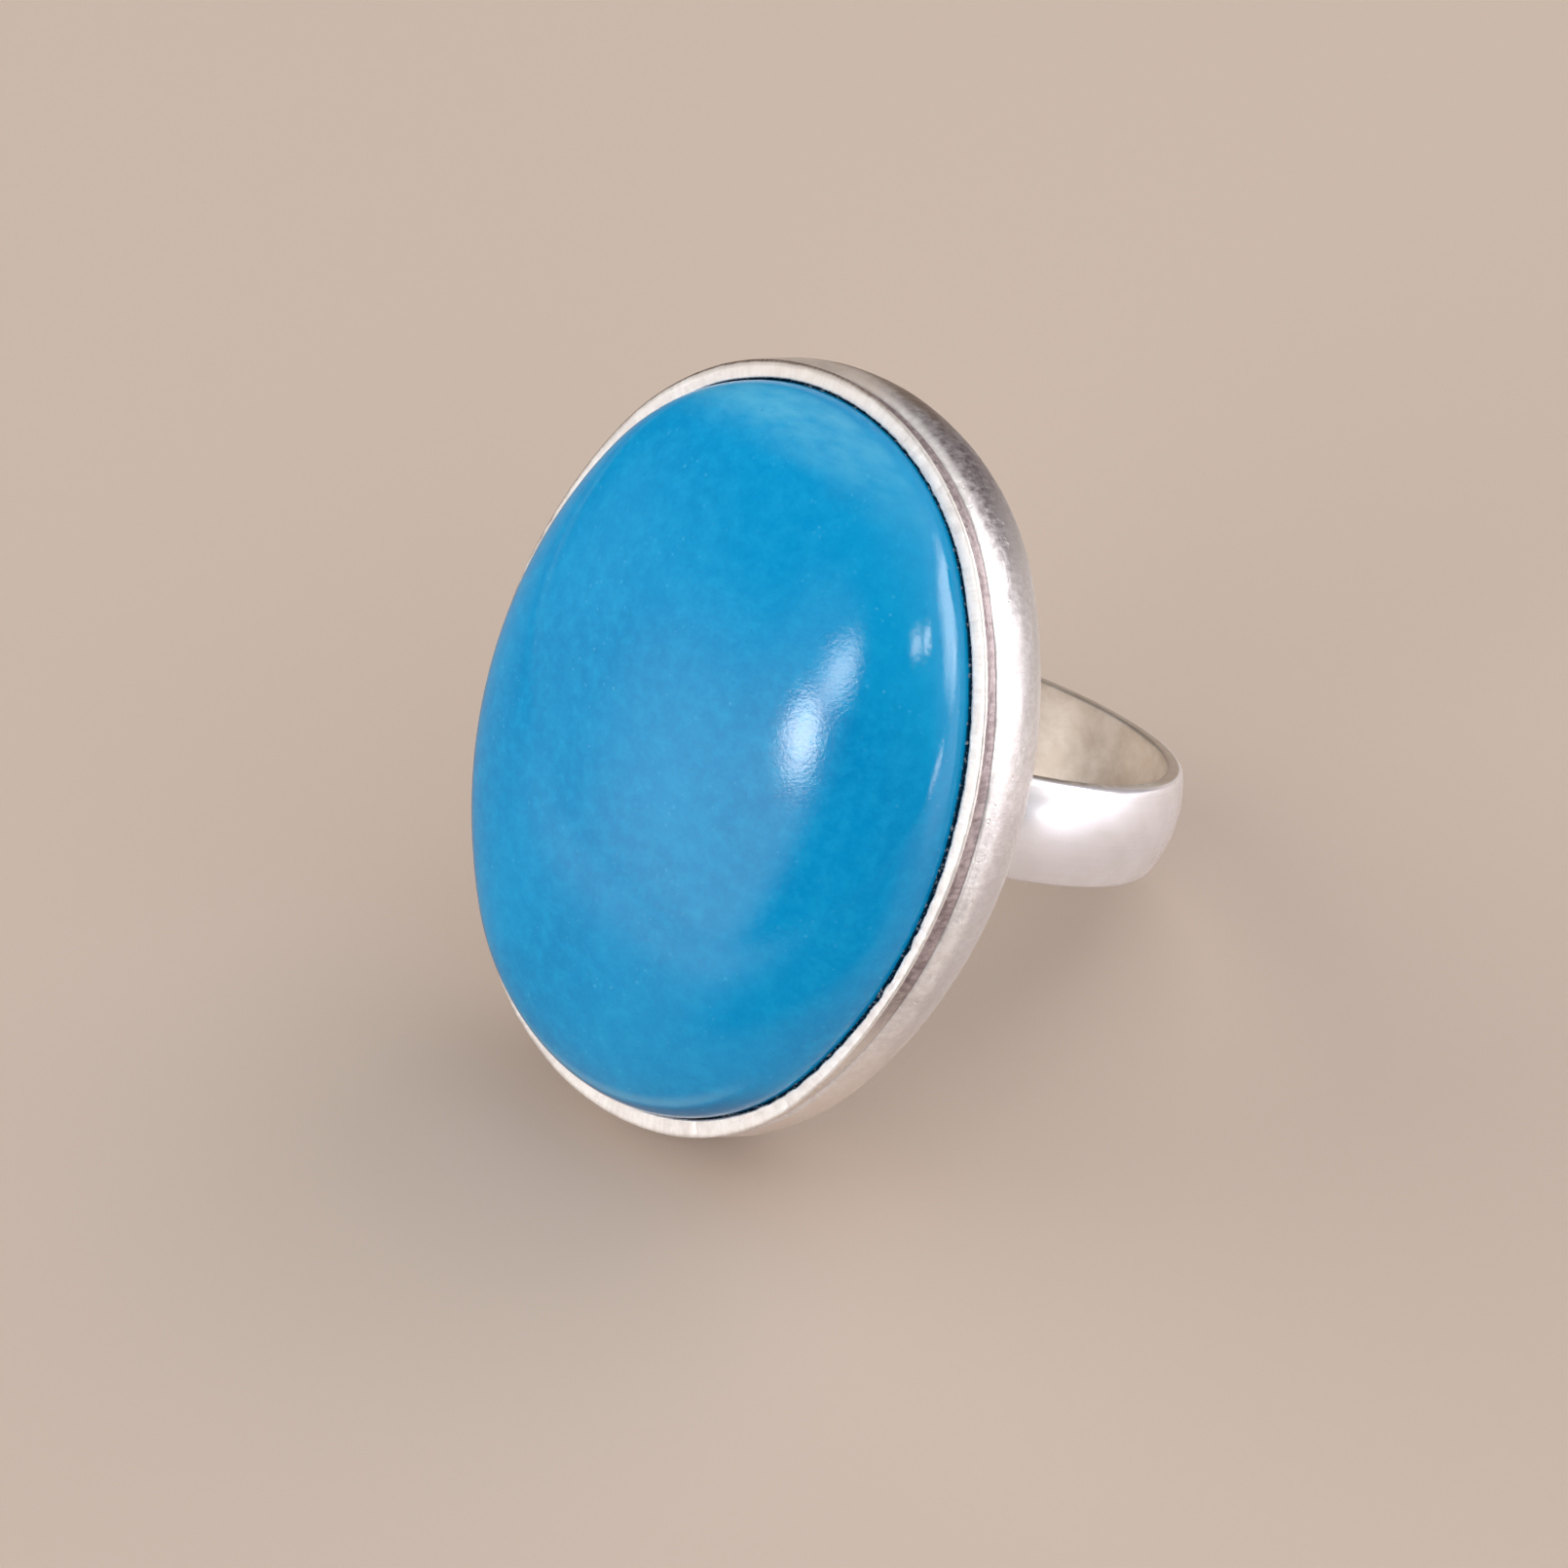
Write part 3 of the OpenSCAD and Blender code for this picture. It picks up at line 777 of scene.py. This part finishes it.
def make_mirrored_floor():
    """What the polish shows of the floor: dark to the front right and left, bright in front and right."""
    bpy.ops.mesh.primitive_plane_add(size=1.2, location=(0, -0.006, 0.0002))
    card = bpy.context.object
    card.name = "mirrored_floor"
    material, tree, shader = start_material("mirrored_floor")
    place = tree.nodes.new("ShaderNodeTexCoord").outputs["Object"]
    reach = vector_length(tree, place)
    toward = tree.nodes.new("ShaderNodeVectorMath")
    toward.operation = "NORMALIZE"
    link(tree, place, toward.inputs[0])
    toward = toward.outputs[0]
    left = times(tree, facing(tree, toward, -85, 0, 30, 75),
                 spread(tree, reach, 0.04, 0.30, 0.55, 0.95, smooth=True))
    colour = mix_colour(tree, left, (0.60, 0.50, 0.43), (0.06, 0.055, 0.05))
    dark = times(tree, facing(tree, toward, 38, 0, 22, 44),
                 spread(tree, reach, 0.020, 0.040, smooth=True))
    link(tree, mix_colour(tree, dark, colour, (0.03, 0.025, 0.02)), shader.inputs["Base Color"])
    shader.inputs["Roughness"].default_value = 0.9
    right = times(tree, facing(tree, toward, 126, 0, 24, 42, 1.2),
                  spread(tree, reach, 0.020, 0.080, smooth=True))
    front = times(tree, facing(tree, toward, -20, 0, 5, 48, 1.15),
                  spread(tree, reach, 0.020, 0.180, smooth=True))
    link(tree, plus(tree, right, front), shader.inputs["Emission Strength"])
    link(tree, mix_colour(tree, spread(tree, right, 0.0, 0.4), (1.0, 0.94, 0.90), (0.90, 0.89, 1.0)),
         shader.inputs["Emission Color"])
    card.data.materials.append(material)
    only_mirrored(card)


def make_world():
    """A pale wall in front, cut off by the frame of a door on its right, and a bright room to the right."""
    world = bpy.data.worlds.new("studio")
    world.use_nodes = True
    tree = world.node_tree
    background = tree.nodes["Background"]
    background.inputs["Color"].default_value = (1.0, 0.95, 0.91, 1)
    view = tree.nodes.new("ShaderNodeTexCoord").outputs["Generated"]
    height = separated(tree, view)["Z"]
    front = plus(tree, facing(tree, view, -14, 10, 0, 36, 1.3), facing(tree, view, -18, 8, 0, 80, 0.62))
    front = times(tree, front, spread(tree, height, 0.28, 0.72, 1.0, 0.08, smooth=True))
    front = plus(tree, front, facing(tree, view, 6, 34, 2, 25, 0.6))
    frame_side = tree.nodes.new("ShaderNodeVectorMath")
    frame_side.operation = "DOT_PRODUCT"
    link(tree, view, frame_side.inputs[0])
    frame_side.inputs[1].default_value = direction(2, 0).cross(direction(18, 30)).normalized()
    front = times(tree, front, spread(tree, frame_side.outputs["Value"], -0.08, 0.13, smooth=True))
    right = plus(tree, facing(tree, view, 128, 14, 18, 42, 0.6), facing(tree, view, 150, 42, 15, 70, 0.55))
    dim_room = 0.05
    link(tree, plus(tree, plus(tree, front, right), dim_room), background.inputs["Strength"])
    bpy.context.scene.world = world


def make_lights():
    # Each row: name, azimuth and elevation in degrees, distance, width and height in metres, radiance.
    # First what shows only in the polish: the front window's two parts, two small panes, and the
    # bright room to the right
    round_window("window_front", 3, 27.2, 0.8, 0.26, 0.22, 20.0, turn=-8, soft=0.7)
    round_window("window_front_arm", 13, 38, 0.8, 0.40, 0.19, 12.0, turn=30, soft=0.8)
    soft_light("window_small_left", 74, 38.2, 0.8, 0.15, 0.045, 12.0, turn=-17, lighting=False)
    soft_light("window_small_right", 88.5, 33.8, 0.8, 0.13, 0.048, 13.0, turn=-17, lighting=False)
    round_window("window_right", 127, 17, 0.9, 0.90, 0.62, 8.0, soft=0.6)
    round_window("window_right_low", 121, 4, 0.9, 0.50, 0.20, 4.0, soft=0.6)
    round_window("window_right_edge", 96, 1, 0.9, 0.34, 0.09, 9.0, soft=0.5)
    # Then the soft light itself, which no polish shows
    soft_light("sky_panel", -20, 80, 0.6, 0.9, 0.9, 0.47, colour=(1.0, 0.96, 0.92), mirrored=False)
    soft_light("sky_back", 165, 40, 1.2, 0.8, 0.8, 1.5, mirrored=False)
    soft_light("right_fill", 75, 20, 1.2, 1.2, 1.0, 1.5, colour=(0.92, 0.95, 1.0), mirrored=False)
    soft_light("left_fill", -70, 22, 1.2, 1.2, 1.0, 2.2, colour=(1.0, 0.96, 0.92), mirrored=False)
    soft_light("front_fill", 0, 14, 1.2, 1.2, 0.6, 0.6, mirrored=False)
    make_mirrored_floor()
    make_world()


# The photo's focal length and its width, in its own pixels
FOCAL_PX, PHOTO_PX = 3500, 1610


def make_camera():
    """The photo's camera, in the ring's own frame in mm: it keeps its place relative to the ring."""
    at = Vector(to_world([(65.54, 29.92, 95.85)])[0])
    toward = (TURN @ Vector((-0.5281, -0.2522, -0.8109))).normalized()
    up = TURN @ Vector((-0.3793, 0.9244, -0.0404))
    right = toward.cross(up).normalized()
    up = right.cross(toward)
    camera = bpy.data.cameras.new("camera")
    camera.sensor_width = 36.0
    camera.lens = FOCAL_PX / PHOTO_PX * camera.sensor_width
    camera.clip_start, camera.clip_end = 0.01, 20
    obj = bpy.data.objects.new("camera", camera)
    bpy.context.scene.collection.objects.link(obj)
    obj.matrix_world = Matrix.Translation(at) @ Matrix((right, up, -toward)).transposed().to_4x4()
    bpy.context.scene.camera = obj


bpy.context.scene.view_settings.view_transform = "Standard"
make_camera()
make_floor()
make_backdrop()
make_card()
make_lights()

stone = make_stone()
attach(stone, "root")
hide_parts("stone")

setting = make_setting()
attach(setting, "root")
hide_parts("setting")
